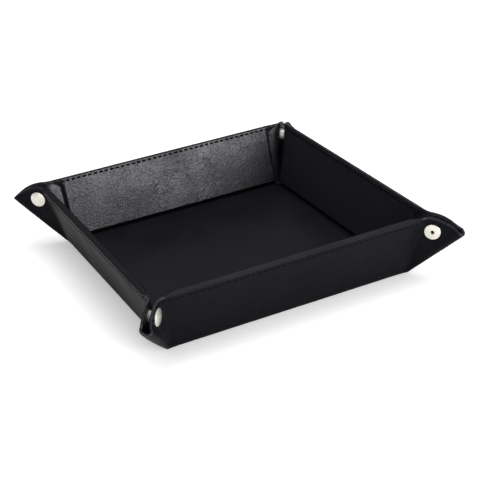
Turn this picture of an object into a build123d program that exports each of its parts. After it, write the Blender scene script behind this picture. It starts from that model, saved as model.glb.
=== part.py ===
# Snap-corner valet tray: a rounded square of two-layer leather with a floor board and
# four wall boards sewn inside. Each corner is pinched out into an ear by a press stud.
# With the studs undone the walls and ears unfold until the sheet lies flat.
#
# Lengths are millimetres and angles degrees. The origin is the middle of the underside,
# +Z is up and the front wall is on the -Y side.
#
# Every wall is drawn laid out flat, as it is cut and sewn: X runs along the wall, Y runs
# outwards from its fold line and Z is height above the table. It is then folded up.

from build123d import *
import math
import os

# Sizes of the whole tray
base_side = 200.0
wall_height = 52.0
sheet_corner_radius = 41.0
wall_lean = 17.0

# Leather and boards
skin_thickness = 0.9
board_thickness = 3.0
board_corner_radius = 2.0
floor_margin = 9.0
fold_margin = 4.0
board_end_margin = 6.0
lining_slope_run = 1.5
lining_end_run = 9.0
rim_turn = 3.0
rim_corner_radius = 1.3
base_corner_radius = 4.0
lining_edge_radius = 0.35

# Room left between pieces that move against each other
body_gap = 0.3
fold_gap = 0.5
ear_split_at_foot = 1.9
fit_gap = 0.1

# Press stud
stud_mated_height = 4.4
stud_drop = 11.6
stud_from_crease = 6.9
cap_diameter = 12.5
cap_rim_height = 0.5
cap_crown_height = 0.9
tube_radius = 1.5
tube_wall = 0.35
tube_flare = 0.35
tube_flare_thickness = 0.3
washer_diameter = 12.3
washer_thickness = 0.5
washer_crown_height = 0.5
washer_edge_round = 0.2
washer_mouth_radius = 1.75
washer_hole_radius = 1.1
washer_mouth_depth = 0.45
washer_hole_depth = 1.1
socket_radius = 5.0
socket_collar_radius = 4.1
socket_floor = 0.5
socket_edge_round = 0.5
stud_flange_radius = 4.2
stud_flange_thickness = 0.6
stud_flange_gap = 0.3
stud_neck_radius = 2.05
stud_bulb_radius = 2.4
stud_bulb_height = 0.7
stud_mouth_gap = 0.15
spring_wire_radius = 0.2

# How far a cutting tool runs past what it cuts
overrun = 5.0

# Worked out from the sizes above
base_half = base_side / 2
fold_angle = 90 - wall_lean
lean_sine = math.sin(math.radians(wall_lean))
lean_cosine = math.cos(math.radians(wall_lean))
crease_angle = math.degrees(math.atan(lean_sine))
ear_angle = math.degrees(math.acos(lean_cosine / math.sqrt(2)))
leather_thickness = 2 * skin_thickness
panel_thickness = leather_thickness + board_thickness
rim_start = wall_height - rim_turn
board_top = skin_thickness + board_thickness
slope_share = lining_slope_run / board_thickness
slope_side = skin_thickness * (math.sqrt(1 + slope_share**2) - slope_share)
bend_radius = stud_mated_height / 2 + skin_thickness
crease_start = base_half - bend_radius * math.sqrt(2)
fold_allowance = bend_radius * math.pi / 2
socket_height = stud_mated_height - stud_flange_thickness - stud_flange_gap
cap_height = cap_rim_height + cap_crown_height
stud_reach = wall_height - stud_drop

# Directions in the laid-out sheet at the wall's +X end
crease_way = Vector(math.sin(math.radians(crease_angle)), math.cos(math.radians(crease_angle)), 0)
crease_across = Vector(crease_way.Y, -crease_way.X, 0)
ear_fold_way = Vector(1, 1, 0).normalized()
ear_fold_across = Vector(1, -1, 0).normalized()
base_corner = Vector(base_half, 0, 0)
crease_foot = Vector(crease_start, 0, skin_thickness)
stud_along = (stud_reach + stud_from_crease * crease_way.X) / crease_way.Y
stud_place = Vector(crease_start, 0, 0) + crease_way * stud_along + crease_across * stud_from_crease


def slab(outline, bottom, top):
    """A flat outline made solid between two heights."""
    return extrude(Pos(0, 0, bottom) * outline, amount=top - bottom)


def rod(start, way, radius, length):
    """A round bar from a point, along a direction."""
    return Plane(origin=start, z_dir=way) * Cylinder(
        radius, length, align=(Align.CENTER, Align.CENTER, Align.MIN)
    )


def block(x_low, x_high, y_low, y_high, z_low, z_high):
    """A box given by its faces."""
    size = Box(x_high - x_low, y_high - y_low, z_high - z_low, align=Align.MIN)
    return Pos(x_low, y_low, z_low) * size


def trapezoid(low_half, high_half, y_low, y_high):
    """A symmetric outline given by its half lengths at y_low and y_high."""
    return make_face(Polyline(
        (-low_half, y_low), (low_half, y_low), (high_half, y_high), (-high_half, y_high), close=True,
    ))


def turned(outline):
    """A profile drawn as radius and height, revolved about the stud's own axis."""
    return revolve(Plane.XZ * make_face(outline), Axis.Z)


# Floor


def wall_fold_grooves():
    """The round grooves along the four floor edges that the walls turn in."""
    grooves = Part()
    for turn in range(4):
        groove = rod(
            (-base_half - overrun, -base_half, skin_thickness),
            (1, 0, 0), skin_thickness + fold_gap, base_side + 2 * overrun,
        )
        grooves += Rot(0, 0, 90 * turn) * groove
    return grooves


def floor_outline():
    return RectangleRounded(base_side, base_side, base_corner_radius)


def floor_skin():
    """Outer leather under the floor."""
    return slab(floor_outline(), 0, skin_thickness) - wall_fold_grooves()


def floor_board():
    side = base_side - 2 * floor_margin
    return slab(RectangleRounded(side, side, board_corner_radius), skin_thickness, board_top)


def floor_field(side, z_low, z_high):
    """A square block with rounded corners whose sides splay out downwards."""
    splay = lining_slope_run
    top = RectangleRounded(side, side, board_corner_radius)
    bottom = RectangleRounded(side + 2 * splay, side + 2 * splay, board_corner_radius + splay)
    return loft([Pos(0, 0, z_low) * bottom, Pos(0, 0, z_high) * top])


def floor_lining():
    """Inner leather over the floor board, pressed down to the outer leather at its edge."""
    side = base_side - 2 * floor_margin
    over = floor_field(side + 2 * slope_side, leather_thickness, panel_thickness)
    over = fillet(over.faces().sort_by(Axis.Z)[-1].edges(), lining_edge_radius)
    hollow = floor_field(side, skin_thickness, board_top)
    margin = slab(floor_outline(), skin_thickness, leather_thickness)
    return margin - wall_fold_grooves() + over - hollow


# Wall, laid out flat


def crease_at(distance):
    """Half length of a wall between its two ear creases, at a distance from the fold."""
    return crease_start + distance * lean_sine


def wall_outline():
    return trapezoid(crease_at(0), crease_at(wall_height), 0, wall_height)


def ear_grooves():
    """The round grooves at both ends of a wall that its ears turn in."""
    length = wall_height / crease_way.Y + 2 * overrun
    start = crease_foot - crease_way * overrun
    groove = rod(start, crease_way, skin_thickness + body_gap, length)
    return groove + mirror(groove, Plane.YZ)


def wall_bead():
    """The rounded edge of the leather along the fold, centred on the fold's axis."""
    return rod((-crease_start, 0, skin_thickness), (1, 0, 0), skin_thickness, 2 * crease_start)


def board_half():
    return base_half - board_end_margin


def board_field(side, z_low, z_high):
    """The form of a wall board, splayed out downwards: a little at its foot and far at
    the rim, where the lining is not pressed against its ends. side widens it all round."""
    half = board_half() + side
    foot = fold_margin - side
    top = wall_height + overrun
    bottom = trapezoid(
        half + lining_slope_run, half + lining_end_run, foot - lining_slope_run, top
    )
    raised = trapezoid(half, half, foot, top)
    return loft([Pos(0, 0, z_low) * bottom, Pos(0, 0, z_high) * raised], ruled=True)


def board_hollow():
    return board_field(0, skin_thickness, board_top)


def lining_field():
    return board_field(slope_side, leather_thickness, panel_thickness)


def rim_half():
    """Half length of the part of the rim where the outer leather is turned over."""
    return board_half() + slope_side + lining_end_run


def rim_bar(half, inset):
    """The top of the wall as a bar with two rounded edges, thinner all round by inset."""
    bar = block(-half, half, rim_start, wall_height - inset, inset, panel_thickness - inset)
    edges = bar.edges().filter_by(Axis.X).group_by(Axis.Y)[-1]
    return fillet(edges, rim_corner_radius - inset)


def rim_wrap():
    """The outer leather where it turns over the top edge of the wall board."""
    half = rim_half()
    thin = block(-half, half, rim_start, wall_height, 0, leather_thickness)
    inside = board_hollow() & block(
        -half, half, rim_start - overrun, wall_height - skin_thickness,
        skin_thickness, board_top,
    )
    return rim_bar(half, 0) & (lining_field() + thin) - inside


def above_turn():
    """The space at the rim that belongs to the turned outer leather."""
    half = rim_half()
    return block(-half, half, rim_start, wall_height + overrun, -overrun, panel_thickness)


def wall_skin():
    """Outer leather of a wall."""
    plate = slab(wall_outline(), 0, skin_thickness) - above_turn()
    bead = wall_bead() & block(
        -base_half, base_half, -overrun, 0, -overrun, skin_thickness
    )
    return plate + bead + rim_wrap() - ear_grooves()


def wall_board():
    """Board of a wall, its top edges a little rounded."""
    half = board_half()
    plate = block(-half, half, fold_margin, rim_start, skin_thickness, board_top)
    return plate + rim_bar(half, skin_thickness)


def wall_lining():
    """Inner leather of a wall, raised over the board and pressed flat beyond its ends."""
    margin = slab(wall_outline(), skin_thickness, leather_thickness)
    bead = wall_bead() & block(
        -base_half, base_half, -overrun, 0, skin_thickness, leather_thickness
    )
    sheet = margin + bead + lining_field() - ear_grooves()
    return sheet - board_hollow() - above_turn()


# Ear, laid out flat at the wall's +X end


def ear_outline():
    """The half of a corner of the sheet that lies between the crease and the ear's fold."""
    step = fold_allowance * math.sqrt(2)
    reach = wall_height - sheet_corner_radius
    foot = (base_half - crease_start - step) / (lean_sine - 1)
    low = Vector(crease_at(foot), foot, 0)
    centre = base_corner + Vector(reach, reach, 0)
    end_angle = 45 + math.degrees(math.asin(fold_allowance / sheet_corner_radius))

    def on_arc(angle):
        way = Vector(math.cos(math.radians(angle)), math.sin(math.radians(angle)), 0)
        return centre + way * sheet_corner_radius

    rim_end = Vector(crease_at(wall_height), wall_height, 0)
    straight = Polyline(on_arc(end_angle), low, rim_end, on_arc(90))
    return make_face(straight + ThreePointArc(on_arc(90), on_arc((90 + end_angle) / 2), on_arc(end_angle)))


def ear_fold_span():
    """Where the rounded fold of the ear starts and ends, measured from the base corner."""
    start = bend_radius
    reach = wall_height - sheet_corner_radius
    dip = sheet_corner_radius - math.sqrt(sheet_corner_radius**2 - fold_allowance**2)
    return start, reach * math.sqrt(2) + sheet_corner_radius - dip


def ear_curl(inner_radius, outer_radius):
    """Quarter-round edge by which an ear leaf reaches the leaf facing it."""
    start, end = ear_fold_span()
    origin = base_corner + ear_fold_way * start - ear_fold_across * fold_allowance
    middle = leather_thickness + stud_mated_height / 2
    foot = Plane(origin=origin, x_dir=ear_fold_across, z_dir=ear_fold_way)
    tip = foot.offset(end - start)
    reach = 2 * (outer_radius + overrun)
    split = loft([
        foot * Pos(0, -middle) * Rectangle(reach, ear_split_at_foot),
        tip * Pos(0, -middle) * Rectangle(reach, body_gap),
    ])
    quarter = Pos(0, -middle) * Rectangle(reach, reach, align=(Align.MIN, Align.MIN))
    ring = Pos(0, -middle) * (Circle(outer_radius) - Circle(inner_radius))
    return extrude(foot * (ring & quarter), amount=end - start) - split


def ear_layer(bottom, top):
    """One of the two leathers of an ear leaf."""
    leaf = slab(ear_outline(), bottom, top)
    foot = ear_outline().bounding_box().min.Y
    start = crease_foot + crease_way * (foot / crease_way.Y)
    length = (wall_height - foot) / crease_way.Y
    below_rim = block(0, base_side, 0, wall_height, bottom, top)
    bead = rod(start, crease_way, skin_thickness, length) & below_rim
    middle = leather_thickness + stud_mated_height / 2
    hole = rod(stud_place - Vector(0, 0, overrun), (0, 0, 1), tube_radius + fit_gap, 2 * overrun)
    return leaf + bead + ear_curl(middle - top, middle - bottom) - hole


def ear_skin():
    return ear_layer(0, skin_thickness)


def ear_lining():
    return ear_layer(skin_thickness, leather_thickness)


# Press stud, on its own axis: the outer face of the leather is at height 0


def stud_cap():
    """Domed cap with the hollow rivet that holds the socket."""
    radius = cap_diameter / 2
    crown_radius = (radius**2 + cap_crown_height**2) / (2 * cap_crown_height)
    crown = Pos(0, 0, crown_radius - cap_height) * Sphere(crown_radius)
    dome = rod((0, 0, -cap_height), (0, 0, 1), radius, cap_height) & crown
    top = leather_thickness + socket_floor + tube_flare_thickness
    tube = rod((0, 0, 0), (0, 0, 1), tube_radius, top)
    flare = rod(
        (0, 0, top - tube_flare_thickness), (0, 0, 1),
        tube_radius + tube_flare, tube_flare_thickness,
    )
    bore = rod((0, 0, 0), (0, 0, 1), tube_radius - tube_wall, top + overrun)
    return dome + tube + flare - bore


def stud_socket():
    """Socket that the stud presses into, riveted to the inner face of its ear leaf."""
    bottom = leather_thickness
    mouth = stud_bulb_radius + stud_mouth_gap
    flange = rod((0, 0, bottom), (0, 0, 1), socket_radius, socket_floor)
    collar = rod((0, 0, bottom), (0, 0, 1), socket_collar_radius, socket_height)
    collar = fillet(collar.edges().sort_by(Axis.Z)[-1], socket_edge_round)
    cup = rod((0, 0, bottom + socket_floor), (0, 0, 1), mouth, socket_height)
    hole = rod((0, 0, bottom - overrun), (0, 0, 1), tube_radius + fit_gap, 2 * overrun)
    groove = rod(
        (0, 0, spring_level() - spring_wire_radius - fit_gap), (0, 0, 1),
        spring_ring_radius() + spring_wire_radius + fit_gap,
        2 * (spring_wire_radius + fit_gap),
    )
    return flange + collar - cup - hole - groove


def spring_level():
    """Height of the spring: level with the neck of the closed stud."""
    return leather_thickness + stud_mated_height - stud_flange_thickness - stud_neck_top() / 2


def stud_neck_top():
    """Height of the stud's neck above its flange."""
    depth = socket_height + stud_flange_gap - socket_floor - tube_flare_thickness
    return depth - stud_bulb_height - body_gap


def spring_ring_radius():
    return stud_bulb_radius + stud_mouth_gap + fit_gap


def stud_spring():
    """Wire ring that grips the stud behind its bulb."""
    return Pos(0, 0, spring_level()) * Torus(spring_ring_radius(), spring_wire_radius)


def stud_head():
    """Stud with its bulb, riveted to the inner face of the facing ear leaf."""
    bottom = leather_thickness
    neck_top = bottom + stud_flange_thickness + stud_neck_top()
    top = neck_top + stud_bulb_height
    flange = rod((0, 0, bottom), (0, 0, 1), stud_flange_radius, stud_flange_thickness)
    neck = rod((0, 0, bottom), (0, 0, 1), stud_neck_radius, top - bottom)
    bulb = rod((0, 0, neck_top), (0, 0, 1), stud_bulb_radius, stud_bulb_height)
    bulb = fillet(bulb.edges(), stud_bulb_height / 2 - fit_gap)
    bore = rod((0, 0, bottom - overrun), (0, 0, 1), tube_radius + fit_gap, top - bottom + overrun - tube_wall)
    return flange + neck + bulb - bore


def stud_washer():
    """Low cone with a funnel in its middle and the rivet that holds the stud."""
    radius = washer_diameter / 2
    face = -washer_thickness - washer_crown_height
    top = leather_thickness + stud_flange_thickness + stud_neck_top()
    return turned(Polyline(
        (0, top),
        (0, face + washer_hole_depth),
        (washer_hole_radius, face + washer_hole_depth),
        (washer_hole_radius, face + washer_mouth_depth),
        (washer_mouth_radius, face),
        (radius - washer_edge_round, -washer_thickness),
        (radius, -washer_thickness + washer_edge_round),
        (radius, 0),
        (tube_radius, 0),
        (tube_radius, top),
        close=True,
    ))


# Folding the laid-out sheet into the tray

walls = ("front", "right", "back", "left")
ends = {
    "front": {1: "right", -1: "left"},
    "right": {1: "back", -1: "front"},
    "back": {1: "left", -1: "right"},
    "left": {1: "front", -1: "back"},
}


def corner_name(wall, end):
    """Name of the corner at one end of a wall, such as front_left."""
    other = ends[wall][end]
    return f"{wall}_{other}" if wall in ("front", "back") else f"{other}_{wall}"


def fold_ear(piece, end):
    """Turns a piece of the +X ear about its crease, and mirrors it for the -X end."""
    axis = Axis(crease_foot, crease_way)
    turned_piece = piece.rotate(axis, ear_angle)
    return turned_piece if end == 1 else mirror(turned_piece, Plane.YZ)


def raise_wall(piece, wall):
    """Folds a laid-out piece up about its wall's fold line and sets it at its side."""
    folded = piece.rotate(Axis((0, 0, skin_thickness), (1, 0, 0)), fold_angle)
    outwards = Rot(0, 0, 180) * (Pos(0, base_half, 0) * folded)
    return Rot(0, 0, 90 * walls.index(wall)) * outwards


def tray_nodes():
    """Every piece of the tray, folded up as it stands in use."""
    nodes = {
        "floor_outer_leather": floor_skin(),
        "floor_board": floor_board(),
        "floor_lining": floor_lining(),
    }
    stud_side = {"stud_head": stud_head(), "stud_washer": stud_washer()}
    socket_side = {"stud_cap": stud_cap(), "stud_socket": stud_socket(), "stud_spring": stud_spring()}
    for wall in walls:
        nodes[f"{wall}_outer_leather"] = raise_wall(wall_skin(), wall)
        nodes[f"{wall}_board"] = raise_wall(wall_board(), wall)
        nodes[f"{wall}_lining"] = raise_wall(wall_lining(), wall)
        for end, hardware in ((1, socket_side), (-1, stud_side)):
            ear = f"{wall}_ear_{ends[wall][-end]}"
            nodes[f"{ear}_outer_leather"] = raise_wall(fold_ear(ear_skin(), end), wall)
            nodes[f"{ear}_lining"] = raise_wall(fold_ear(ear_lining(), end), wall)
            for name, piece in hardware.items():
                placed = fold_ear(Pos(*stud_place) * piece, end)
                nodes[f"{name}_{corner_name(wall, -end)}"] = raise_wall(placed, wall)
    return nodes


os.makedirs("parts", exist_ok=True)
for node, shape in tray_nodes().items():
    export_step(shape, f"parts/{node}.step")
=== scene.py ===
import bmesh
import bpy
import math
from collections import namedtuple
from mathutils import Matrix, Vector


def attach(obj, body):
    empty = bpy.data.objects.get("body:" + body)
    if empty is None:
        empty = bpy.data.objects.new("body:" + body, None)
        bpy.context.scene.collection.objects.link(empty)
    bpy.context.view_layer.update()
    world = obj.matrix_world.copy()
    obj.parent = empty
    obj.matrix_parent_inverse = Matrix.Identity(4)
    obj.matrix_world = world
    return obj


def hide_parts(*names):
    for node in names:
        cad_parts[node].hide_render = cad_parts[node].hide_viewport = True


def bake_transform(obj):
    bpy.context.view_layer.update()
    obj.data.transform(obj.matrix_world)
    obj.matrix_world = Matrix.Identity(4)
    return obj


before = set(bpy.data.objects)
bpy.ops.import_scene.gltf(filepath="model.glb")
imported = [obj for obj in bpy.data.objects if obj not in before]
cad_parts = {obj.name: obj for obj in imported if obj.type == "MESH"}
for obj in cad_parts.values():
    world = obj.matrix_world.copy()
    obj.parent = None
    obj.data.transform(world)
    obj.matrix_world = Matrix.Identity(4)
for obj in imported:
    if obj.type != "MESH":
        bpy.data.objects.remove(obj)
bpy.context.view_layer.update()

# Sizes in millimetres, as the solids have them. HALF_SHEET is half of both leathers together.
MM = 0.001
BASE_HALF = 100.0
WALL_HEIGHT = 52.0
LEAN = math.radians(17.0)
FOLD = math.pi / 2 - LEAN
HALF_SHEET = 0.9
BOARD = 3.0
BOARD_HALF = 94.0
FLOOR_BOARD_HALF = 91.0
CORNER_RADIUS = 41.0
CORNER_REACH = WALL_HEIGHT - CORNER_RADIUS
RIM_RADIUS = CORNER_RADIUS - HALF_SHEET
TIP_UP = CORNER_REACH + RIM_RADIUS * math.sin(math.radians(45))

# The ear's half: its distance from the diagonal of the corner, its crease with the wall
# and the turn about that crease
LEAF_OFFSET = 3.1
CREASE_START = BASE_HALF - LEAF_OFFSET * math.sqrt(2)
CREASE_ANGLE = math.atan(math.sin(LEAN))
CREASE_SLOPE = math.tan(CREASE_ANGLE)
CREASE_AXIS = Vector((math.sin(CREASE_ANGLE), math.cos(CREASE_ANGLE), 0))
CREASE_FOOT = Vector((CREASE_START, 0, 0))
EAR_ANGLE = math.acos(math.cos(LEAN) / math.sqrt(2))
EAR_TURN = Matrix.Rotation(EAR_ANGLE, 4, CREASE_AXIS)
WALL_TURN = Matrix.Rotation(FOLD, 4, "X")

# The strip of sheet that bends between floor and wall, sharper close to the corner
FOLD_ROUND = 1.6
CORNER_FOLD_ROUND = 0.9
STRIP_IN = 5.5
STRIP_UP = 4.0

# Painted shade darkens the groove between floor and wall board: where it starts from the floor's middle,
# and how far up the wall it goes
GROOVE_SHADE_IN = 89.4
GROOVE_SHADE_UP = 2.3

# How far the lining takes to come down beside the floor's board and a wall's board, and how
# much further it takes higher up a wall and at its rim
FLOOR_FALL = 2.6
WALL_FALL = 2.4
WALL_FALL_MORE = 1.4
RIM_FALL_MORE = 8.0
# The lining's rounding over the floor board's corners, its room past a wall board's end,
# and how far up from the fold it starts to rise over that board
FLOOR_LINING_CORNER = 4.0
BOARD_END_ROOM = 0.3
BOARD_FOOT = 0.8

# Where the wall's leather ends and the ear's starts, past the wall's end at the strip and the rim
SEAM_LOW = -5.0
SEAM_HIGH = -10.0
# Length of the bend before the crease, at the fold and at the rim
BEND_LOW = 3.4
BEND_HIGH = 14.5
# How far past the crease the ear's half has its own shape, at the fold and higher up
LEAF_START_LOW = 0.7
LEAF_START_HIGH = 1.2
# The arms that round the bend: a share of its length, and lengths at the fold and at the rim
FIRST_ARM_SHARE = 0.3
LAST_ARM_LOW = 0.9
LAST_ARM_HIGH = 5.0
# How far the ear's leather reaches in over the floor
LEAF_IN = 2.6

# The curl of the ear's halves. A radius is a distance from the corner of the floor.
EAR_REACH = 57.0
CORNER_CLOSENESS = 0.22
FLAT_FROM_FOLD = 15.0
ROUNDNESS_RUN = 5.0
SLACK_LOW = 1.0
SLACK_HIGH = 2.9
SWAY_POWER = 1.6
SWAY_START = 8.0
SWAY_REACH = 23.0

# Ramps, each as where it starts and how far it runs
SHARPER_NEAR_CORNER = (-10.0, 9.0)
SEAM_SHIFT = (STRIP_UP, 12.0)
LEAF_START_SHIFT = (0.0, 25.0)
CLOSENESS_BY_RADIUS = (0.0, 26.0)
ROUNDNESS_BY_RADIUS = (22.0, 24.0)
SLACK_FROM_FOLD = (0.0, 16.0)
LIFT_FROM_FOLD = (0.0, 22.0)
FLARE_BY_HEIGHT = (45.0, 8.0)
FLARE_FROM_FOLD = (6.0, 12.0)
DRAWN_BY_RADIUS = (32.0, 25.0)
DRAWN_ALONG = (15.0, 20.0)
WIDER_FALL = (20.0, 30.0)
RIM_FALL = (45.0, 6.0)

# How a soft ear hangs: tip bent sideways, upper edge turned out, roundness of the fold,
# tip drawn in along the fold, tip lifted
Hang = namedtuple("Hang", "sway flare roundness drawn lift")
STRAIGHT = Hang(0.0, 1.5, 0.36, 0.0, 0.0)
HANG_OF = {
    "front_ear_left": Hang(3.6, 1.0, 0.3, 3.0, 1.2),
    "left_ear_front": Hang(-3.6, -1.0, 0.3, 3.0, 1.2),
    "front_ear_right": Hang(0.0, 1.0, 0.5, 0.0, 0.0),
    "right_ear_front": Hang(0.0, 2.4, 0.5, 0.0, 0.0),
    "back_ear_right": Hang(0.0, -0.3, 0.3, 3.0, 0.0),
    "right_ear_back": Hang(0.0, -0.3, 0.3, 3.0, 0.0),
}

WALL_TURNS = {"front": 180, "right": 270, "back": 0, "left": 90}
# The ear at each end of a wall: 1 is the drawn end, -1 the mirrored one
EAR_OF = {
    "front": {1: "left", -1: "right"},
    "right": {1: "front", -1: "back"},
    "back": {1: "right", -1: "left"},
    "left": {1: "back", -1: "front"},
}


def smooth(value):
    value = min(max(value, 0.0), 1.0)
    return value * value * (3 - 2 * value)


def ramp(value, start, run):
    return smooth((value - start) / run)


def mix(low, high, share):
    return low + (high - low) * share


def spread(low, high, count):
    return [mix(low, high, k / count) for k in range(count + 1)]


# Shape of the sheet's middle surface. A point of the sheet laid out flat is (along, up):
# along runs from the corner of the floor past the end of the wall, up from the fold.
# The drawn wall is at +Y and its drawn ear at +X.


def fold_section(up, bend):
    """Where the sheet is in the wall's cross-section: (outwards, height)."""
    if up <= -bend:
        return BASE_HALF + up, HALF_SHEET
    rise = Vector((math.cos(FOLD), math.sin(FOLD)))
    if up >= bend:
        return BASE_HALF + rise.x * up, HALF_SHEET + rise.y * up
    share = (up + bend) / (2 * bend)
    start = Vector((BASE_HALF - bend, HALF_SHEET))
    middle = Vector((BASE_HALF, HALF_SHEET))
    end = middle + rise * bend
    point = start * (1 - share) ** 2 + middle * 2 * share * (1 - share) + end * share**2
    return point.x, point.y


def wall_point(along, up):
    """The fold between floor and wall is round, and sharper towards the corner."""
    bend = mix(FOLD_ROUND, CORNER_FOLD_ROUND, ramp(along, *SHARPER_NEAR_CORNER))
    outwards, height = fold_section(up, bend)
    return Vector((BASE_HALF + along, outwards, height))


def lift_wall(point):
    """From the wall laid out flat to the wall folded up."""
    return WALL_TURN @ point + Vector((0, BASE_HALF, HALF_SHEET))


def closeness(radius):
    """How near the ear's halves come to each other towards the corner of the floor."""
    return mix(CORNER_CLOSENESS, 1.0, ramp(radius, *CLOSENESS_BY_RADIUS))


def leaf_point(along, up, hang):
    """The ear's half: flat by the stud, curling round to meet the other half at the fold."""
    radius = math.hypot(along, up)
    gap = LEAF_OFFSET * closeness(radius)
    curl = gap * (1 + hang.roundness * ramp(radius, *ROUNDNESS_BY_RADIUS))
    from_fold = (up - along) / math.sqrt(2)
    quarter = curl * math.pi / 2
    if from_fold < quarter:
        shift = curl * (1 - math.cos(from_fold / curl)) - from_fold
        offset = curl * math.sin(from_fold / curl)
    else:
        shift = (curl - quarter) * (1 - ramp(from_fold, quarter, FLAT_FROM_FOLD - quarter))
        offset = gap + (curl - gap) * (1 - ramp(from_fold, quarter, ROUNDNESS_RUN))
    shift += mix(SLACK_LOW, SLACK_HIGH, radius / EAR_REACH) * (1 - ramp(from_fold, *SLACK_FROM_FOLD))
    shift += hang.lift * (radius / EAR_REACH) ** 2 * (1 - ramp(from_fold, *LIFT_FROM_FOLD))
    offset += hang.flare * ramp(up, *FLARE_BY_HEIGHT) * ramp(from_fold, *FLARE_FROM_FOLD)
    from_crease = (along - CREASE_SLOPE * up + BASE_HALF - CREASE_START) * math.cos(CREASE_ANGLE)
    offset += hang.sway * (max(from_crease - SWAY_START, 0) / SWAY_REACH) ** SWAY_POWER
    inwards = hang.drawn * ramp(radius, *DRAWN_BY_RADIUS) * ramp(along, *DRAWN_ALONG)
    flat = Vector((BASE_HALF + along, up, LEAF_OFFSET - offset))
    flat += Vector((-1, 1, 0)) * (shift / math.sqrt(2))
    flat -= Vector((1, 1, 0)) * (inwards / math.sqrt(2))
    return lift_wall(EAR_TURN @ (flat - CREASE_FOOT) + CREASE_FOOT)


def share_of_height(up):
    return min(max(up, 0), WALL_HEIGHT) / WALL_HEIGHT


def crease_along(up):
    """The crease leans with the wall and moves back where the halves come close."""
    return CREASE_SLOPE * up - math.sqrt(2) * LEAF_OFFSET * closeness(abs(up))


def seam_along(up):
    """Where the wall piece ends and the ear piece starts."""
    return mix(SEAM_LOW, SEAM_HIGH, ramp(up, *SEAM_SHIFT))


def bend_start(up):
    """Where the wall stops being flat on its way to the crease."""
    return crease_along(up) - mix(BEND_LOW, BEND_HIGH, share_of_height(up))


def leaf_start(up):
    """Where the ear's half takes its own shape, just past the crease."""
    return crease_along(up) + mix(LEAF_START_LOW, LEAF_START_HIGH, ramp(up, *LEAF_START_SHIFT))


def sheet_point(along, up, hang):
    """The sheet from the wall through its crease into the ear."""
    start, end = bend_start(up), leaf_start(up)
    if along <= start or up < 0:
        return wall_point(along, up)
    if along >= end:
        return leaf_point(along, up, hang)
    step = 0.05
    first, last = wall_point(start, up), leaf_point(end, up, hang)
    into = (leaf_point(end + step, up, hang) - last).normalized()
    length = end - start
    first_arm = first + Vector((length * FIRST_ARM_SHARE, 0, 0))
    last_arm = last - into * mix(LAST_ARM_LOW, LAST_ARM_HIGH, share_of_height(up))
    share = (along - start) / length
    rest = 1 - share
    return (
        first * rest**3 + first_arm * 3 * rest**2 * share
        + last_arm * 3 * rest * share**2 + last * share**3
    )


def sheet_frame(along, up, hang):
    """Middle point, outward normal and the two surface directions of the sheet."""
    step = 0.04
    middle = sheet_point(along, up, hang)
    way_along = sheet_point(along + step, up, hang) - sheet_point(along - step, up, hang)
    way_up = sheet_point(along, up + step, hang) - sheet_point(along, up - step, hang)
    way_along.normalize()
    way_up.normalize()
    return middle, way_up.cross(way_along).normalized(), way_along, way_up


def wall_rise(along, up):
    """The lining over a wall's board: full over the board, falling away beyond its end."""
    run = WALL_FALL + WALL_FALL_MORE * ramp(up, *WIDER_FALL) + RIM_FALL_MORE * ramp(up, *RIM_FALL)
    past_end = (BASE_HALF + along - BOARD_HALF - BOARD_END_ROOM) / run
    return BOARD * smooth(1 - past_end) * ramp(up, BOARD_FOOT, WALL_FALL)


def floor_rise(across, up):
    """The lining over the floor board, coming down to the sheet around its edge."""
    straight = FLOOR_BOARD_HALF + FLOOR_FALL - FLOOR_LINING_CORNER
    past_x = abs(across) - straight
    past_y = abs(up + BASE_HALF) - straight
    outside = math.hypot(max(past_x, 0), max(past_y, 0)) + min(max(past_x, past_y), 0)
    return BOARD * smooth((FLOOR_LINING_CORNER - outside) / FLOOR_FALL)


# Building closed meshes from grids

# Steps across each grid
WALL_ROWS = 26
WALL_COLUMNS = 60
STRIP_ROWS = 30
STRIP_COLUMNS = 64
LEAF_ROWS = 20
ARC_ROWS = 18
CREASE_COLUMNS = 30
LEAF_COLUMNS = 26
FLOOR_ROWS = 50
CORNER_ROWS = 4
# Width in millimetres of the floor's edge, where its rows are close, and the steps across it
FLOOR_EDGE = 8.5
FLOOR_EDGE_ROWS = 17
# Heights of the ear's rows at its foot, close together where it bends, and of the row above them
LEAF_FOOT = [-LEAF_IN, -1.9, -1.2, -0.6, 0.0, 0.7, 1.5, 2.4, 3.4, 4.6, 6.0, 7.6]
LEAF_ABOVE_FOOT = 9.5
# The least room the ear's half keeps between its crease and the fold
LEAST_LEAF = 0.2
# Heights closer than this count as the same
CLOSE = 0.001

# Which of its materials a sheet's faces have, where the outer faces have the first
# Faces in the groove get a leather darkened as painted shade; both kinds of edge get a leather lightened as
# a painted highlight
INNER_FACE, THIN_EDGE, GROOVE_SHADE_FACE, THICK_EDGE = range(1, 5)
# An edge thicker than this many half sheets has a board's leather turned over it
THICK_EDGE_FROM = 2.15
SHARPEST_SMOOTH_ANGLE = math.radians(50)


class Grid:
    """A sheet with thickness: rows of points on the outer and the inner face.
    edge_way gives the outward way at a round edge, or None where the edge is cut square.
    The last argument tells which inner faces get painted shade, the dark of the groove between the boards."""

    def __init__(self, outer, inner, edge_way=lambda i, j: None, in_groove_shade=lambda i, j: False):
        self.outer = outer
        self.inner = inner
        self.edge_way = edge_way
        self.in_groove_shade = in_groove_shade


# Points round a free edge: (share of the half thickness, angle of the rounding)
RING = [(1, math.radians(angle)) for angle in (22, 45, 68, 90)]
RING += [(0.92, math.pi / 2), (0, math.pi / 2), (-0.92, math.pi / 2)]
RING += [(-1, math.radians(angle)) for angle in (90, 112, 135, 158)]


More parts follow.
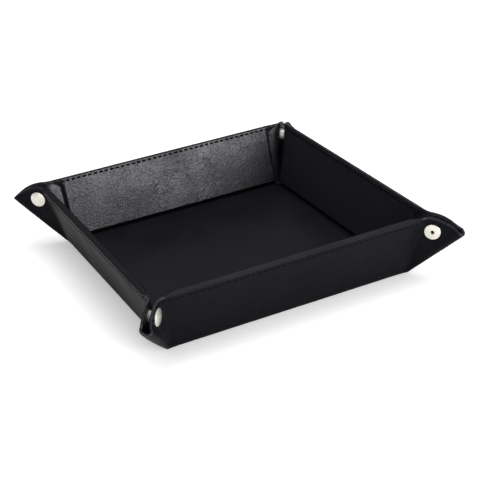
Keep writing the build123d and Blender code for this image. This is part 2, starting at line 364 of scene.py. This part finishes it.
def solid_sheet(name, grid, place):
    """A closed mesh from a grid, kept above the table."""
    rows, columns = len(grid.outer), len(grid.outer[0])
    mesh = bmesh.new()

    def vertex(point):
        return mesh.verts.new(place @ (Vector((point.x, point.y, max(point.z, 0.0))) * MM))

    outer = [[vertex(p) for p in row] for row in grid.outer]
    inner = [[vertex(p) for p in row] for row in grid.inner]
    border = [(0, j) for j in range(columns)]
    border += [(i, columns - 1) for i in range(1, rows)]
    border += [(rows - 1, j) for j in range(columns - 2, -1, -1)]
    border += [(i, 0) for i in range(rows - 2, 0, -1)]
    rings = []
    for i, j in border:
        top, bottom = grid.outer[i][j], grid.inner[i][j]
        centre, half = (top + bottom) / 2, (top - bottom) / 2
        across = half.normalized()
        way = grid.edge_way(i, j)
        rounding = min(half.length, HALF_SHEET)
        bulge = Vector() if way is None else way * rounding
        ring = [outer[i][j]]
        for share, angle in RING:
            level = (half.length - rounding) * share + rounding * math.cos(angle)
            ring.append(vertex(centre + across * level + bulge * math.sin(angle)))
        ring.append(inner[i][j])
        rings.append(ring)
    for i in range(rows - 1):
        for j in range(columns - 1):
            mesh.faces.new((outer[i][j], outer[i][j + 1], outer[i + 1][j + 1], outer[i + 1][j]))
            back = mesh.faces.new((inner[i][j], inner[i + 1][j], inner[i + 1][j + 1], inner[i][j + 1]))
            back.material_index = GROOVE_SHADE_FACE if grid.in_groove_shade(i, j) else INNER_FACE
    for k, ring in enumerate(rings):
        after = rings[(k + 1) % len(rings)]
        # Thin and thick edges both get a lighter leather than the faces, as a painted highlight
        thick = (ring[0].co - ring[-1].co).length > THICK_EDGE_FROM * HALF_SHEET * MM
        for m in range(len(ring) - 1):
            side = mesh.faces.new((ring[m], ring[m + 1], after[m + 1], after[m]))
            side.material_index = THICK_EDGE if thick else THIN_EDGE
    bmesh.ops.recalc_face_normals(mesh, faces=mesh.faces)
    for edge in mesh.edges:
        edge.smooth = edge.calc_face_angle(0) < SHARPEST_SMOOTH_ANGLE
    return finish_mesh(name, mesh)


def finish_mesh(name, mesh):
    """A smooth-shaded object at the origin from a mesh."""
    data = bpy.data.meshes.new(name)
    mesh.to_mesh(data)
    mesh.free()
    for polygon in data.polygons:
        polygon.use_smooth = True
    thing = bpy.data.objects.new(name, data)
    bpy.context.scene.collection.objects.link(thing)
    return thing


def placement(wall, end=1):
    """From the drawn wall at +Y to a wall of the tray, mirrored for the ear at its other end."""
    turn = Matrix.Rotation(math.radians(WALL_TURNS[wall]), 4, "Z")
    return turn @ Matrix.Diagonal((end, 1, 1, 1))


def wall_grid():
    """The flat length of the wall, as long as its board."""
    ups = spread(STRIP_UP, WALL_HEIGHT - HALF_SHEET, WALL_ROWS)
    outward = Vector((0, math.sin(FOLD), -math.cos(FOLD)))
    upward = Vector((0, math.cos(FOLD), math.sin(FOLD)))
    outer, inner = [], []
    for up in ups:
        outer_row, inner_row = [], []
        for share in spread(-1, 1, WALL_COLUMNS):
            along = (BASE_HALF + seam_along(up)) * abs(share) - BASE_HALF
            middle = wall_point(along, up)
            middle.x = math.copysign(middle.x, share)
            outer_row.append(middle + outward * HALF_SHEET)
            inner_row.append(middle - outward * (HALF_SHEET + wall_rise(along, up)))
        outer.append(outer_row)
        inner.append(inner_row)
    rim = len(ups) - 1
    return Grid(outer, inner, edge_way=lambda i, j: upward if i == rim else None)


def leaf_ups():
    """Heights of the ear's rows, close together at its foot and along the arc of its rim."""
    angles = [math.radians(angle) for angle in spread(45, 90, ARC_ROWS)[1:]]
    arc = [CORNER_REACH + RIM_RADIUS * math.sin(angle) for angle in angles]
    return LEAF_FOOT + spread(LEAF_ABOVE_FOOT, TIP_UP, LEAF_ROWS) + arc


def leaf_grid(hang):
    """The end of a wall past its flat length, its crease and one half of the ear."""
    outer, inner, ways = [], [], []
    heights = leaf_ups()
    for up in heights:
        start, middle = seam_along(up), min(leaf_start(max(up, 0)), up - LEAST_LEAF)
        end = up
        if up > TIP_UP + CLOSE:
            side = (up - CORNER_REACH) / RIM_RADIUS
            end = CORNER_REACH + RIM_RADIUS * math.sqrt(max(1 - side**2, 0))
        alongs = spread(start, middle, CREASE_COLUMNS)
        turns = spread(0, math.pi / 2, LEAF_COLUMNS)[1:]
        alongs += [mix(middle, end, math.sin(turn)) for turn in turns]
        outer_row, inner_row, way_row = [], [], []
        for along in alongs:
            point, outward, way_along, way_up = sheet_frame(along, up, hang)
            rise = wall_rise(along, up) if along <= middle else 0.0
            outer_row.append(point + outward * HALF_SHEET)
            inner_row.append(point - outward * (HALF_SHEET + rise))
            way_row.append((way_along, way_up))
        outer.append(outer_row)
        inner.append(inner_row)
        ways.append(way_row)
    rows, columns = len(outer), len(outer[0])

    def edge_way(i, j):
        way_along, way_up = ways[i][j]
        if i == rows - 1:
            return way_up
        if j == columns - 1 and heights[i] >= TIP_UP - CLOSE:
            side = (heights[i] - CORNER_REACH) / RIM_RADIUS
            return (way_along * math.sqrt(max(1 - side**2, 0)) + way_up * side).normalized()
        return None

    return Grid(outer, inner, edge_way)


def strip_grid():
    """The bend between floor and wall, with the pressed channel of the lining in it; its inner faces low
    down are darkened as painted shade.
    """
    ups = spread(-STRIP_IN, STRIP_UP, STRIP_ROWS)
    step = 0.05
    outer, inner = [], []
    for up in ups:
        outer_row, inner_row = [], []
        reach = BASE_HALF + seam_along(up)
        for across in spread(-reach, reach, STRIP_COLUMNS):
            along = abs(across) - BASE_HALF
            middle = wall_point(along, up)
            way_up = (wall_point(along, up + step) - wall_point(along, up - step)).normalized()
            outward = way_up.cross(Vector((1, 0, 0))).normalized()
            rise = floor_rise(across, up) if up < 0 else wall_rise(along, up)
            middle.x = across
            outer_row.append(middle + outward * HALF_SHEET)
            inner_row.append(middle - outward * (HALF_SHEET + rise))
        outer.append(outer_row)
        inner.append(inner_row)
    return Grid(outer, inner, in_groove_shade=lambda i, j: ups[i] < GROOVE_SHADE_UP)


def square_grid(values, rise, in_groove_shade):
    """A level part of the floor, its lining lifted by rise(across, up)."""
    outer, inner = [], []
    for y in values:
        outer.append([Vector((x, y, 0)) for x in values])
        inner.append([Vector((x, y, 2 * HALF_SHEET + rise(x, y - BASE_HALF))) for x in values])
    return Grid(outer, inner, in_groove_shade=in_groove_shade)


def floor_grid():
    """The floor inside the strips, with close rows where the lining falls at its edge."""
    side = BASE_HALF - STRIP_IN
    inside = side - FLOOR_EDGE
    edge = spread(inside, side, FLOOR_EDGE_ROWS)
    values = [-v for v in edge[::-1]] + spread(-inside, inside, FLOOR_ROWS)[1:-1] + edge

    # Inner faces at the floor's edge, by the groove, get painted shade
    def in_groove_shade(i, j):
        return max(abs(values[k] + values[k + 1]) for k in (i, j)) / 2 > GROOVE_SHADE_IN

    return square_grid(values, floor_rise, in_groove_shade)


def corner_grid():
    """The corner of the floor between two strips, up to where the ear's leather starts. All its inner faces
    get painted shade.
    """
    values = spread(BASE_HALF + seam_along(0), BASE_HALF - LEAF_IN, CORNER_ROWS)
    return square_grid(values, lambda across, up: 0.0, lambda i, j: True)


# Stitches

STITCH_PITCH = 4.9
STITCH_LENGTH = 3.5
FIRST_STITCH = 0.7 - BASE_HALF
WALL_STITCHES = 20
EAR_STITCHES = 8
# Radius of the thread: thin in the outer leather's seam, thick where the lining's seam shows
THIN_THREAD = 0.34
THICK_THREAD = 0.8
# How far below the rim the seams run
OUTER_DROP = 4.0
INNER_WALL_DROP = 2.6
INNER_EAR_DROP = 2.4
# A stitch from hole to hole: (share of its length, height in thread radii, thickness)
STITCH_PROFILE = (
    (-0.02, -1.0, 0.72), (0.07, -0.1, 1.0), (0.2, 0.42, 1.0), (0.5, 0.62, 1.0),
    (0.8, 0.42, 1.0), (0.93, -0.1, 1.0), (1.02, -1.0, 0.72),
)
THREAD_SIDES = 8
THREAD_FLATNESS = 0.8


def add_stitch(mesh, start, end, outward, radius):
    """One stitch of thread lying on the leather, its ends going down into their holes."""
    length = (end - start).length
    way = (end - start).normalized()
    side = outward.cross(way).normalized()
    rings = []
    for share, height, thickness in STITCH_PROFILE:
        centre = start + way * (length * share) + outward * (radius * height)
        ring = []
        for k in range(THREAD_SIDES):
            angle = 2 * math.pi * k / THREAD_SIDES
            out = side * math.cos(angle) + outward * (math.sin(angle) * THREAD_FLATNESS)
            ring.append(mesh.verts.new((centre + out * (radius * thickness)) * MM))
        rings.append(ring)
    for first, second in zip(rings, rings[1:]):
        for k in range(THREAD_SIDES):
            after = (k + 1) % THREAD_SIDES
            mesh.faces.new((first[k], first[after], second[after], second[k]))
    mesh.faces.new(rings[0][::-1])
    mesh.faces.new(rings[-1])


def stitch_point(drop, along, face, hang):
    """A point of the seam on one face and its outward way. Past the wall it follows the arc."""
    up = WALL_HEIGHT - drop
    if along > CORNER_REACH:
        radius = CORNER_RADIUS - drop
        angle = (along - CORNER_REACH) / radius
        along = CORNER_REACH + radius * math.sin(angle)
        up = CORNER_REACH + radius * math.cos(angle)
    middle, outward, _, _ = sheet_frame(along, up, hang)
    if face > 0:
        return middle + outward * HALF_SHEET, outward
    return middle - outward * (HALF_SHEET + wall_rise(along, up)), -outward


def stitch_line(name, drop, first, count, face, place, radius, both_ways=False, hang=STRAIGHT):
    """A seam on the outer (face 1) or the inner face (face -1), at a drop below the rim."""
    mesh = bmesh.new()
    for k in range(count):
        along = first + k * STITCH_PITCH
        start, outward = stitch_point(drop, along, face, hang)
        end, _ = stitch_point(drop, along + STITCH_LENGTH, face, hang)
        for mirrored in ((1, -1) if both_ways else (1,)):
            flip = Vector((mirrored, 1, 1))
            add_stitch(mesh, start * flip, end * flip, outward * flip, radius)
    bmesh.ops.transform(mesh, matrix=place, verts=mesh.verts)
    bmesh.ops.recalc_face_normals(mesh, faces=mesh.faces)
    return finish_mesh(name, mesh)


# Materials


def colour(text):
    """A linear colour from an sRGB hex value."""
    parts = [int(text[k:k + 2], 16) / 255 for k in (1, 3, 5)]
    linear = [p / 12.92 if p <= 0.04045 else ((p + 0.055) / 1.055) ** 2.4 for p in parts]
    return (*linear, 1.0)


def cells(width):
    """The scale of a pattern whose cells have a width in millimetres."""
    return 1.0 / (width * MM)


def new_material(name):
    material = bpy.data.materials.new(name)
    material.use_nodes = True
    material.node_tree.nodes.clear()
    return material, material.node_tree


def add_node(tree, kind, values=None, **settings):
    node = tree.nodes.new(kind)
    for key, value in settings.items():
        setattr(node, key, value)
    for key, value in (values or {}).items():
        if isinstance(value, bpy.types.NodeSocket):
            tree.links.new(value, node.inputs[key])
        else:
            node.inputs[key].default_value = value
    return node


def leather(name, dark, light, rough, gloss, waves=0.35, wrinkled=0.5, shine="#ececff"):
    """Leather with a coat of plastic, pressed with a grain. The eye gets wandering wrinkles about
    3 mm apart in patches, a pebble grain, and slow waves that bend the reflections. The real
    pebbles are under half a millimetre and are drawn at 1.1 mm, to show at all."""
    material, tree = new_material(name)
    place = add_node(tree, "ShaderNodeTexCoord").outputs["Object"]
    warp = add_node(tree, "ShaderNodeTexNoise", {"Vector": place, "Scale": cells(14.286), "Detail": 4.0})
    bent = add_node(tree, "ShaderNodeMixRGB", {
        "Fac": 0.02, "Color1": place, "Color2": warp.outputs["Color"],
    }, blend_type="ADD")
    wrinkles = add_node(tree, "ShaderNodeTexVoronoi", {
        "Vector": bent.outputs[0], "Scale": cells(3.3333),
    }, feature="DISTANCE_TO_EDGE")
    wrinkle_walls = add_node(tree, "ShaderNodeMapRange", {
        "Value": wrinkles.outputs["Distance"], "From Max": 0.3,
    })
    pebbles = add_node(tree, "ShaderNodeTexVoronoi", {"Vector": bent.outputs[0], "Scale": cells(1.1111)})
    fine = add_node(tree, "ShaderNodeTexNoise", {"Vector": place, "Scale": cells(0.38462), "Detail": 4.0})
    slow = add_node(tree, "ShaderNodeTexNoise", {"Vector": place, "Scale": cells(35.714), "Detail": 2.0})
    patch = add_node(tree, "ShaderNodeTexNoise", {"Vector": place, "Scale": cells(26.316), "Detail": 3.0})
    patch_amount = add_node(tree, "ShaderNodeMapRange", {
        "Value": patch.outputs["Fac"], "From Min": 0.3, "From Max": 0.65, "To Min": 0.5,
    })
    depth = add_node(tree, "ShaderNodeMath", {
        0: wrinkle_walls.outputs[0], 1: patch_amount.outputs[0],
    }, operation="MULTIPLY")
    bump = None
    for strength, height_in_mm, height in (
        (waves, 1.2, slow.outputs["Fac"]), (wrinkled, 0.22, depth.outputs[0]),
        (0.35, 0.1, pebbles.outputs["Distance"]), (0.25, 0.05, fine.outputs["Fac"]),
    ):
        under = {} if bump is None else {"Normal": bump.outputs[0]}
        bump = add_node(tree, "ShaderNodeBump", {
            "Strength": strength, "Distance": height_in_mm * MM, "Height": height, **under,
        })
    tint = add_node(tree, "ShaderNodeMixRGB", {
        "Fac": depth.outputs[0], "Color1": colour(dark), "Color2": colour(light),
    })
    roughness = add_node(tree, "ShaderNodeMapRange", {
        "Value": slow.outputs["Fac"], "From Min": 0.3, "From Max": 0.7,
        "To Min": rough - 0.05, "To Max": rough + 0.06,
    })
    surface = add_node(tree, "ShaderNodeBsdfPrincipled", {
        "Base Color": tint.outputs[0], "Roughness": roughness.outputs[0],
        "Specular IOR Level": gloss, "Specular Tint": colour(shine), "Normal": bump.outputs[0],
    })
    add_node(tree, "ShaderNodeOutputMaterial", {"Surface": surface.outputs[0]})
    return material


def thread(name):
    """Twisted polyester: dull, with slanting strands 0.4 mm wide, nearly three to a cell."""
    material, tree = new_material(name)
    place = add_node(tree, "ShaderNodeTexCoord").outputs["Object"]
    twist = add_node(tree, "ShaderNodeTexWave", {
        "Vector": place, "Scale": cells(1.1111), "Distortion": 2.0,
    }, bands_direction="DIAGONAL")
    bump = add_node(tree, "ShaderNodeBump", {
        "Strength": 0.6, "Distance": 0.1 * MM, "Height": twist.outputs["Fac"],
    })
    tint = add_node(tree, "ShaderNodeMixRGB", {
        "Fac": twist.outputs["Fac"], "Color1": colour("#050506"), "Color2": colour("#0b0b0d"),
    })
    surface = add_node(tree, "ShaderNodeBsdfPrincipled", {
        "Base Color": tint.outputs[0], "Roughness": 0.75, "Specular IOR Level": 0.12,
        "Normal": bump.outputs[0],
    })
    add_node(tree, "ShaderNodeOutputMaterial", {"Surface": surface.outputs[0]})
    return material


def greyboard(name):
    """Pressed waste paper: matt and grey, with short darker fibres and a cloudy tone."""
    material, tree = new_material(name)
    place = add_node(tree, "ShaderNodeTexCoord").outputs["Object"]
    fibres = add_node(tree, "ShaderNodeTexNoise", {"Vector": place, "Scale": cells(0.71429), "Detail": 5.0})
    clouds = add_node(tree, "ShaderNodeTexNoise", {"Vector": place, "Scale": cells(16.667), "Detail": 2.0})
    both = add_node(tree, "ShaderNodeMath", {
        0: fibres.outputs["Fac"], 1: clouds.outputs["Fac"],
    }, operation="MULTIPLY")
    tint = add_node(tree, "ShaderNodeMixRGB", {
        "Fac": both.outputs[0], "Color1": colour("#6b6862"), "Color2": colour("#a39f96"),
    })
    bump = add_node(tree, "ShaderNodeBump", {
        "Strength": 0.4, "Distance": 0.1 * MM, "Height": fibres.outputs["Fac"],
    })
    surface = add_node(tree, "ShaderNodeBsdfPrincipled", {
        "Base Color": tint.outputs[0], "Roughness": 0.9, "Normal": bump.outputs[0],
    })
    add_node(tree, "ShaderNodeOutputMaterial", {"Surface": surface.outputs[0]})
    return material


def nickel(name, tone, low, high, metallic=0.8):
    """Nickel plate on brass, tumbled: warm white metal, dulled unevenly by handling marks."""
    material, tree = new_material(name)
    place = add_node(tree, "ShaderNodeTexCoord").outputs["Object"]
    marks = add_node(tree, "ShaderNodeTexNoise", {"Vector": place, "Scale": cells(1.4286), "Detail": 5.0})
    roughness = add_node(tree, "ShaderNodeMapRange", {
        "Value": marks.outputs["Fac"], "From Min": 0.3, "From Max": 0.7, "To Min": low, "To Max": high,
    })
    bump = add_node(tree, "ShaderNodeBump", {
        "Strength": 0.12, "Distance": 0.05 * MM, "Height": marks.outputs["Fac"],
    })
    surface = add_node(tree, "ShaderNodeBsdfPrincipled", {
        "Base Color": colour(tone), "Metallic": metallic, "Roughness": roughness.outputs[0],
        "Normal": bump.outputs[0],
    })
    add_node(tree, "ShaderNodeOutputMaterial", {"Surface": surface.outputs[0]})
    return material


# The outside is nearly matt, so its grain shows only softly
OUTER = leather("black pebbled leather", "#08080b", "#0c0c10", 0.46, 0.09)
# The lining shines, and its wrinkles break the shine up. Its colour is lighter than the floor's copy of the
# same leather, as painted light
LIT_LINING = leather(
    "black smooth lining leather, painted light", "#19181e", "#1d1c22", 0.38, 0.5,
    waves=0.12, wrinkled=0.65, shine="#fafbff",
)
# Over the floor board the lining is stretched flat, so hardly a wrinkle is left. This copy of the same
# leather is coloured darker, as painted shade
SHADED_FLOOR_LINING = leather(
    "black smooth floor leather, painted shade", "#040409", "#06060b", 0.33, 0.22, waves=0.03, wrinkled=0.12,
)
# The painted cut edge is smoother than the leather; its lighter colour is a painted highlight, a thin line
# of light along it
EDGE_PAINT_WITH_HIGHLIGHT = leather("black painted leather edge with painted highlight", "#121216", "#18181c", 0.32, 0.42)
# Leather turned over the rim is coloured lighter than the walls as a painted highlight, a soft light along
# it
RIM_WITH_PAINTED_HIGHLIGHT = leather("black leather turned over the rim, with painted highlight", "#0d0d11", "#121216", 0.42, 0.14)
# In the pressed groove the leather gets painted shade: a darker colour, with little shine
GROOVE_SHADE_LEATHER = leather("black leather with painted groove shade", "#08080b", "#0b0b0e", 0.5, 0.1)
LEATHERS = (OUTER, LIT_LINING, EDGE_PAINT_WITH_HIGHLIGHT, GROOVE_SHADE_LEATHER, RIM_WITH_PAINTED_HIGHLIGHT)
FLOOR_LEATHERS = (OUTER, SHADED_FLOOR_LINING, EDGE_PAINT_WITH_HIGHLIGHT, GROOVE_SHADE_LEATHER, RIM_WITH_PAINTED_HIGHLIGHT)
THREAD = thread("black polyester thread")
# Caps and washers are satin nickel. The studs' working parts get a whiter, less metallic copy as painted
# light, and the washers' funnels a darker one as painted shade
NICKEL = nickel("satin nickel", "#e6e3d8", 0.22, 0.4)
LIT_NICKEL = nickel("nickel with painted light", "#fffdf6", 0.3, 0.5, metallic=0.35)
FUNNEL_SHADE_NICKEL = nickel("nickel with painted funnel shade", "#8f8c7e", 0.45, 0.6, metallic=0.5)
GREYBOARD = greyboard("grey paper board")

# The funnel in a washer, in millimetres from the washer's middle
FUNNEL_FROM = 0.8
FUNNEL_TO = 1.85


def shade_funnel(washer):
    """The funnel in the middle of a washer gets a darker nickel as painted shade, and its floor keeps the
    plain nickel.
    """
    points = [corner.co for corner in washer.data.vertices]
    middle = sum(points, Vector()) / len(points)
    for polygon in washer.data.polygons:
        if FUNNEL_FROM * MM < (polygon.center - middle).length < FUNNEL_TO * MM:
            polygon.material_index = 1


def dress(thing, slot, *materials):
    """Gives a piece its materials, in the order of its faces' numbers."""
    if thing.data.materials:
        thing.data.materials.clear()
    for material in materials:
        thing.data.materials.append(material)


# Putting the tray together

floor_cover = solid_sheet("floor_leather", floor_grid(), Matrix.Identity(4))
dress(floor_cover, "outer_leather", *FLOOR_LEATHERS)
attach(floor_cover, "floor")
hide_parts("floor_outer_leather", "floor_lining")

corner = corner_grid()
for k in range(4):
    patch = solid_sheet(f"floor_corner_leather_{k + 1}", corner, Matrix.Rotation(k * math.pi / 2, 4, "Z"))
    dress(patch, "outer_leather", *LEATHERS)
    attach(patch, "floor")

the_wall = wall_grid()
the_strip = strip_grid()
the_leaves = {hang: leaf_grid(hang) for hang in {STRAIGHT, *HANG_OF.values()}}
for wall in WALL_TURNS:
    place = placement(wall)
    cover = solid_sheet(f"{wall}_wall_leather", the_wall, place)
    dress(cover, "outer_leather", *LEATHERS)
    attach(cover, f"{wall}_wall")
    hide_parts(f"{wall}_outer_leather", f"{wall}_lining")
    strip = solid_sheet(f"{wall}_fold_leather", the_strip, place)
    dress(strip, "outer_leather", *LEATHERS)
    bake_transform(strip)
    for side, face, drop, radius in (
        ("outer", 1, OUTER_DROP, THIN_THREAD), ("inner", -1, INNER_WALL_DROP, THICK_THREAD),
    ):
        name = f"{wall}_wall_{side}_stitches"
        stitches = stitch_line(
            name, drop, FIRST_STITCH, WALL_STITCHES, face, place, radius, both_ways=True,
        )
        dress(stitches, "outer_leather", THREAD)
        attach(stitches, f"{wall}_wall")
    for end, other in EAR_OF[wall].items():
        ear = f"{wall}_ear_{other}"
        place = placement(wall, end)
        hang = HANG_OF.get(ear, STRAIGHT)
        leaf = solid_sheet(f"{ear}_leather", the_leaves[hang], place)
        dress(leaf, "outer_leather", *LEATHERS)
        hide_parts(f"{ear}_outer_leather", f"{ear}_lining")
        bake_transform(leaf)
        for side, face, drop in (("outer", 1, OUTER_DROP), ("inner", -1, INNER_EAR_DROP)):
            name = f"{ear}_{side}_stitches"
            first = FIRST_STITCH + WALL_STITCHES * STITCH_PITCH
            stitches = stitch_line(
                name, drop, first, EAR_STITCHES, face, place, THIN_THREAD, hang=hang,
            )
            dress(stitches, "outer_leather", THREAD)
            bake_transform(stitches)

for name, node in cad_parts.items():
    if name.startswith("stud"):
        outside = "washer" in name or "cap" in name
        # Parts other than caps and washers get the whiter nickel as painted light; a washer's funnel gets
        # painted shade
        dress(node, "nickel", NICKEL if outside else LIT_NICKEL, FUNNEL_SHADE_NICKEL)
        if "washer" in name:
            shade_funnel(node)
    elif name.endswith("board"):
        dress(node, "board", GREYBOARD)

# Ground, light and camera, in metres

WHITE = (1, 1, 1, 1)
GROUND_HALF = 4
GROUND_DROP = 0.0002
GROUND_LIFT = 0.3

ground_mesh = bpy.data.meshes.new("ground")
ground_corners = [(x * GROUND_HALF, y * GROUND_HALF, 0) for x, y in ((-1, -1), (1, -1), (1, 1), (-1, 1))]
ground_mesh.from_pydata(ground_corners, [], [(0, 1, 2, 3)])
ground = bpy.data.objects.new("ground", ground_mesh)
ground.location.z = -GROUND_DROP
bpy.context.scene.collection.objects.link(ground)
# White paper. Seen from the camera it is a little brighter, so that it runs into the background.
ground_material, tree = new_material("white paper ground")
ground_paths = add_node(tree, "ShaderNodeLightPath")
seen_lift = add_node(tree, "ShaderNodeMath", {
    0: ground_paths.outputs["Is Camera Ray"], 1: GROUND_LIFT,
}, operation="MULTIPLY")
ground_surface = add_node(tree, "ShaderNodeBsdfPrincipled", {
    "Base Color": colour("#f4f4f4"), "Roughness": 0.9, "Specular IOR Level": 0.1,
    "Emission Color": WHITE, "Emission Strength": seen_lift.outputs[0],
})
add_node(tree, "ShaderNodeOutputMaterial", {"Surface": ground_surface.outputs[0]})
ground_mesh.materials.append(ground_material)


def area_light(name, place, target, size, power):
    """A soft box turned to a target, its power in watts."""
    data = bpy.data.lights.new(name, "AREA")
    data.shape = "RECTANGLE"
    data.size, data.size_y = size
    data.energy = power
    lamp = bpy.data.objects.new(name, data)
    lamp.location = place
    lamp.rotation_euler = (Vector(target) - Vector(place)).to_track_quat("-Z", "Y").to_euler()
    bpy.context.scene.collection.objects.link(lamp)


area_light("overhead softbox", (0.2, 0.3, 1.6), (0, 0, 0), (1.6, 1.6), 22.0)
area_light("front right softbox", (0.6, -1.4, 0.35), (0, 0, 0.03), (1.0, 0.6), 20.0)
area_light("front left fill", (-1.3, -0.9, 0.3), (0, 0, 0.03), (0.8, 0.4), 4.0)

# A white studio. Gloss sees it dark, apart from a dim backdrop behind the tray and above it.
SEEN_STRENGTH = 1.0
ROOM_STRENGTH = 0.5
GLOSS_STRENGTH = 0.03
BACKDROP_STRENGTH = 0.28

world = bpy.data.worlds.new("studio")
bpy.context.scene.world = world
world.use_nodes = True
tree = world.node_tree
tree.nodes.clear()
paths = add_node(tree, "ShaderNodeLightPath")
seen = add_node(tree, "ShaderNodeBackground", {"Color": WHITE, "Strength": SEEN_STRENGTH})
unseen = add_node(tree, "ShaderNodeBackground", {"Color": WHITE, "Strength": ROOM_STRENGTH})
direction = add_node(tree, "ShaderNodeTexCoord").outputs["Generated"]
heading = add_node(tree, "ShaderNodeSeparateXYZ", {"Vector": direction})
behind = add_node(tree, "ShaderNodeMapRange", {
    "Value": heading.outputs["Y"], "From Min": 0.1, "From Max": 0.7,
})
above = add_node(tree, "ShaderNodeMapRange", {
    "Value": heading.outputs["Z"], "From Min": 0.15, "From Max": 0.45,
})
on_backdrop = add_node(tree, "ShaderNodeMath", {
    0: behind.outputs[0], 1: above.outputs[0],
}, operation="MULTIPLY")
backdrop = add_node(tree, "ShaderNodeMapRange", {
    "Value": on_backdrop.outputs[0], "To Min": GLOSS_STRENGTH, "To Max": BACKDROP_STRENGTH,
})
reflected = add_node(tree, "ShaderNodeBackground", {"Color": WHITE, "Strength": backdrop.outputs[0]})
dim = add_node(tree, "ShaderNodeMixShader", {
    0: paths.outputs["Is Glossy Ray"], 1: unseen.outputs[0], 2: reflected.outputs[0],
})
both = add_node(tree, "ShaderNodeMixShader", {
    0: paths.outputs["Is Camera Ray"], 1: dim.outputs[0], 2: seen.outputs[0],
})
add_node(tree, "ShaderNodeOutputWorld", {"Surface": both.outputs[0]})

# The camera as it was fitted to the floor and rim lines of the photograph
CAMERA_PLACE = Vector((-0.369155, -0.794565, 0.461514))
CAMERA_AZIMUTH = math.radians(-25.48)
CAMERA_ELEVATION = math.radians(27.07)
CAMERA_ROLL = math.radians(-4.07)

camera_data = bpy.data.cameras.new("camera")
camera_data.sensor_width = 36.0
camera_data.lens = 93.03
camera = bpy.data.objects.new("camera", camera_data)
bpy.context.scene.collection.objects.link(camera)
level_back = Vector((math.sin(CAMERA_AZIMUTH), -math.cos(CAMERA_AZIMUTH), 0))
back = level_back * math.cos(CAMERA_ELEVATION) + Vector((0, 0, math.sin(CAMERA_ELEVATION)))
right = Vector((math.cos(CAMERA_AZIMUTH), math.sin(CAMERA_AZIMUTH), 0))
up = back.cross(right)
rolled_right = right * math.cos(CAMERA_ROLL) + up * math.sin(CAMERA_ROLL)
rolled_up = up * math.cos(CAMERA_ROLL) - right * math.sin(CAMERA_ROLL)
camera_turn = Matrix((rolled_right, rolled_up, back)).transposed().to_4x4()
camera.matrix_world = Matrix.Translation(CAMERA_PLACE) @ camera_turn
bpy.context.scene.camera = camera
bpy.context.scene.view_settings.view_transform = "Standard"
